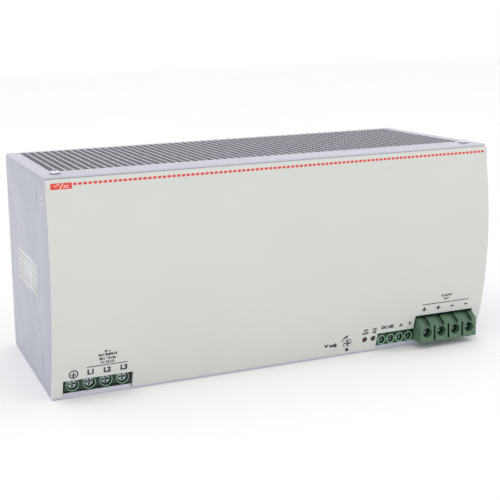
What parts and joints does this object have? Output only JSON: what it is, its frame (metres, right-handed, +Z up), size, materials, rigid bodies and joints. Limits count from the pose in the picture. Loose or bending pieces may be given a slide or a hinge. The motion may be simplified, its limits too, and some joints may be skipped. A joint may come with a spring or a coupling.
{
  "type": "din rail power supply",
  "caption": "Wide metal-cased power supply with a bowed light plastic front, screw terminals along its lower edge, vent grilles, and a sprung latch for a mounting rail on the back.",
  "frame": {"origin": "centre of the rail seat on the back: on the rail's centreline, halfway along the width, on the plane where the rail's flanges bear", "axes": "+Z up as mounted, +X to the right seen from the front, -Y out of the front panel, +Y towards the mounting rail"},
  "size_m": [0.2761, 0.137, 0.1279],
  "materials": {
    "cover_metal": "satin, punched sheet",
    "side_metal": "satin",
    "front_plastic": "fine moulded grain",
    "label_foil": "printed foil",
    "screw_steel": "zinc plated",
    "bracket_aluminium": "extruded, plain",
    "latch_steel": "zinc plated",
    "spring_steel": "bright wire",
    "board_green": "solder resist",
    "post_brass": "turned",
    "lamp_red": "tinted clear",
    "lamp_green": "tinted clear",
    "trimmer_blue": "moulded",
    "trimmer_grey": "moulded",
    "sink_aluminium": "extruded fins",
    "package_black": "moulded",
    "can_sleeve": "shrink sleeve",
    "core_green": "coated ferrite",
    "winding_copper": "enamelled wire",
    "ferrite": "sintered",
    "winding_tape": "polyester tape",
    "film_yellow": "moulded box",
    "fuse_glass": "ceramic barrel",
    "terminal_green": "moulded polyamide",
    "contact_tin": "tinned copper",
    "terminal_nickel": "nickel plated",
    "cage_steel": "zinc plated"
  },
  "bodies": {
    "case": {"bent_cover": "cover_metal", "board_posts": "post_brass", "board_screws": "screw_steel", "bottom_grille": "cover_metal", "bracket_screws": "screw_steel", "bulk_capacitors": "can_sleeve", "cover_screws": "screw_steel", "film_capacitors": "film_yellow", "filter_cores": "core_green", "filter_windings": "winding_copper", "front_panel": "front_plastic", "green_lamp": "lamp_green", "heat_sinks": "sink_aluminium", "input_contacts": "contact_tin", "input_fuses": "fuse_glass", "input_housing": "terminal_green", "latch_springs": "spring_steel", "left_side_plate": "side_metal", "main_board": "board_green", "output_capacitors": "can_sleeve", "output_contacts": "contact_tin", "output_housing": "terminal_green", "power_transistors": "package_black", "rail_bracket": "bracket_aluminium", "rating_label": "label_foil", "red_lamp": "lamp_red", "right_side_plate": "side_metal", "side_screws": "screw_steel", "signal_contacts": "contact_tin", "signal_housing": "terminal_green", "top_grille": "cover_metal", "transformer_core": "ferrite", "transformer_winding": "winding_tape", "trimmer_body": "trimmer_blue"},
    "rail_latch": {"rail_latch": "latch_steel"},
    "trimmer_knob": {"trimmer_knob": "trimmer_grey"},
    "input_screw_1": {"input_screw_1": "terminal_nickel"},
    "input_cage_1": {"input_cage_1": "cage_steel"},
    "input_screw_2": {"input_screw_2": "terminal_nickel"},
    "input_cage_2": {"input_cage_2": "cage_steel"},
    "input_screw_3": {"input_screw_3": "terminal_nickel"},
    "input_cage_3": {"input_cage_3": "cage_steel"},
    "input_screw_4": {"input_screw_4": "terminal_nickel"},
    "input_cage_4": {"input_cage_4": "cage_steel"},
    "output_screw_1": {"output_screw_1": "terminal_nickel"},
    "output_cage_1": {"output_cage_1": "cage_steel"},
    "output_screw_2": {"output_screw_2": "terminal_nickel"},
    "output_cage_2": {"output_cage_2": "cage_steel"},
    "output_screw_3": {"output_screw_3": "terminal_nickel"},
    "output_cage_3": {"output_cage_3": "cage_steel"},
    "output_screw_4": {"output_screw_4": "terminal_nickel"},
    "output_cage_4": {"output_cage_4": "cage_steel"},
    "signal_screw_1": {"signal_screw_1": "terminal_nickel"},
    "signal_cage_1": {"signal_cage_1": "cage_steel"},
    "signal_screw_2": {"signal_screw_2": "terminal_nickel"},
    "signal_cage_2": {"signal_cage_2": "cage_steel"},
    "signal_screw_3": {"signal_screw_3": "terminal_nickel"},
    "signal_cage_3": {"signal_cage_3": "cage_steel"},
    "signal_screw_4": {"signal_screw_4": "terminal_nickel"},
    "signal_cage_4": {"signal_cage_4": "cage_steel"}
  },
  "joints": [
    {"name": "latch_slide", "type": "slide", "parent": "case", "child": "rail_latch", "axis": [0, 0, -1], "range_m": [0, 0.006], "stiffness_N_per_m": 1800, "springref_m": -0.004, "deforming": ["latch_springs"]},
    {"name": "trimmer_turn", "type": "hinge", "parent": "case", "child": "trimmer_knob", "pos_m": [0.0436, -0.12, -0.0546], "axis": [0, 1, 0], "range_deg": [-135, 135]},
    {"name": "input_screw_1_turn", "type": "hinge", "parent": "case", "child": "input_screw_1", "pos_m": [-0.12638, -0.1154, -0.0549], "axis": [0, 1, 0], "range_deg": [0, 2161]},
    {"name": "input_cage_1_slide", "type": "slide", "parent": "case", "child": "input_cage_1", "axis": [0, -1, 0], "range_m": [0, 0.0042]},
    {"name": "input_screw_2_turn", "type": "hinge", "parent": "case", "child": "input_screw_2", "pos_m": [-0.11686, -0.1154, -0.0549], "axis": [0, 1, 0], "range_deg": [0, 2161]},
    {"name": "input_cage_2_slide", "type": "slide", "parent": "case", "child": "input_cage_2", "axis": [0, -1, 0], "range_m": [0, 0.0042]},
    {"name": "input_screw_3_turn", "type": "hinge", "parent": "case", "child": "input_screw_3", "pos_m": [-0.10734, -0.1154, -0.0549], "axis": [0, 1, 0], "range_deg": [0, 2161]},
    {"name": "input_cage_3_slide", "type": "slide", "parent": "case", "child": "input_cage_3", "axis": [0, -1, 0], "range_m": [0, 0.0042]},
    {"name": "input_screw_4_turn", "type": "hinge", "parent": "case", "child": "input_screw_4", "pos_m": [-0.09782, -0.1154, -0.0549], "axis": [0, 1, 0], "range_deg": [0, 2161]},
    {"name": "input_cage_4_slide", "type": "slide", "parent": "case", "child": "input_cage_4", "axis": [0, -1, 0], "range_m": [0, 0.0042]},
    {"name": "output_screw_1_turn", "type": "hinge", "parent": "case", "child": "output_screw_1", "pos_m": [0.09526, -0.1225, -0.0528], "axis": [0, 1, 0], "range_deg": [0, 2881]},
    {"name": "output_cage_1_slide", "type": "slide", "parent": "case", "child": "output_cage_1", "axis": [0, -1, 0], "range_m": [0, 0.006]},
    {"name": "output_screw_2_turn", "type": "hinge", "parent": "case", "child": "output_screw_2", "pos_m": [0.10542, -0.1225, -0.0528], "axis": [0, 1, 0], "range_deg": [0, 2881]},
    {"name": "output_cage_2_slide", "type": "slide", "parent": "case", "child": "output_cage_2", "axis": [0, -1, 0], "range_m": [0, 0.006]},
    {"name": "output_screw_3_turn", "type": "hinge", "parent": "case", "child": "output_screw_3", "pos_m": [0.11558, -0.1225, -0.0528], "axis": [0, 1, 0], "range_deg": [0, 2881]},
    {"name": "output_cage_3_slide", "type": "slide", "parent": "case", "child": "output_cage_3", "axis": [0, -1, 0], "range_m": [0, 0.006]},
    {"name": "output_screw_4_turn", "type": "hinge", "parent": "case", "child": "output_screw_4", "pos_m": [0.12574, -0.1225, -0.0528], "axis": [0, 1, 0], "range_deg": [0, 2881]},
    {"name": "output_cage_4_slide", "type": "slide", "parent": "case", "child": "output_cage_4", "axis": [0, -1, 0], "range_m": [0, 0.006]},
    {"name": "signal_screw_1_turn", "type": "hinge", "parent": "case", "child": "signal_screw_1", "pos_m": [0.06757, -0.1173, -0.0557], "axis": [0, 1, 0], "range_deg": [0, 1873]},
    {"name": "signal_cage_1_slide", "type": "slide", "parent": "case", "child": "signal_cage_1", "axis": [0, -1, 0], "range_m": [0, 0.0026]},
    {"name": "signal_screw_2_turn", "type": "hinge", "parent": "case", "child": "signal_screw_2", "pos_m": [0.07393, -0.1173, -0.0557], "axis": [0, 1, 0], "range_deg": [0, 1873]},
    {"name": "signal_cage_2_slide", "type": "slide", "parent": "case", "child": "signal_cage_2", "axis": [0, -1, 0], "range_m": [0, 0.0026]},
    {"name": "signal_screw_3_turn", "type": "hinge", "parent": "case", "child": "signal_screw_3", "pos_m": [0.08027, -0.1173, -0.0557], "axis": [0, 1, 0], "range_deg": [0, 1873]},
    {"name": "signal_cage_3_slide", "type": "slide", "parent": "case", "child": "signal_cage_3", "axis": [0, -1, 0], "range_m": [0, 0.0026]},
    {"name": "signal_screw_4_turn", "type": "hinge", "parent": "case", "child": "signal_screw_4", "pos_m": [0.08662, -0.1173, -0.0557], "axis": [0, 1, 0], "range_deg": [0, 1873]},
    {"name": "signal_cage_4_slide", "type": "slide", "parent": "case", "child": "signal_cage_4", "axis": [0, -1, 0], "range_m": [0, 0.0026]}
  ],
  "couplings": [
    {"joint": "input_screw_1_turn", "follows": "input_cage_1_slide", "rad_per_m": 8976},
    {"joint": "input_screw_2_turn", "follows": "input_cage_2_slide", "rad_per_m": 8976},
    {"joint": "input_screw_3_turn", "follows": "input_cage_3_slide", "rad_per_m": 8976},
    {"joint": "input_screw_4_turn", "follows": "input_cage_4_slide", "rad_per_m": 8976},
    {"joint": "output_screw_1_turn", "follows": "output_cage_1_slide", "rad_per_m": 8377.6},
    {"joint": "output_screw_2_turn", "follows": "output_cage_2_slide", "rad_per_m": 8377.6},
    {"joint": "output_screw_3_turn", "follows": "output_cage_3_slide", "rad_per_m": 8377.6},
    {"joint": "output_screw_4_turn", "follows": "output_cage_4_slide", "rad_per_m": 8377.6},
    {"joint": "signal_screw_1_turn", "follows": "signal_cage_1_slide", "rad_per_m": 12566},
    {"joint": "signal_screw_2_turn", "follows": "signal_cage_2_slide", "rad_per_m": 12566},
    {"joint": "signal_screw_3_turn", "follows": "signal_cage_3_slide", "rad_per_m": 12566},
    {"joint": "signal_screw_4_turn", "follows": "signal_cage_4_slide", "rad_per_m": 12566}
  ]
}
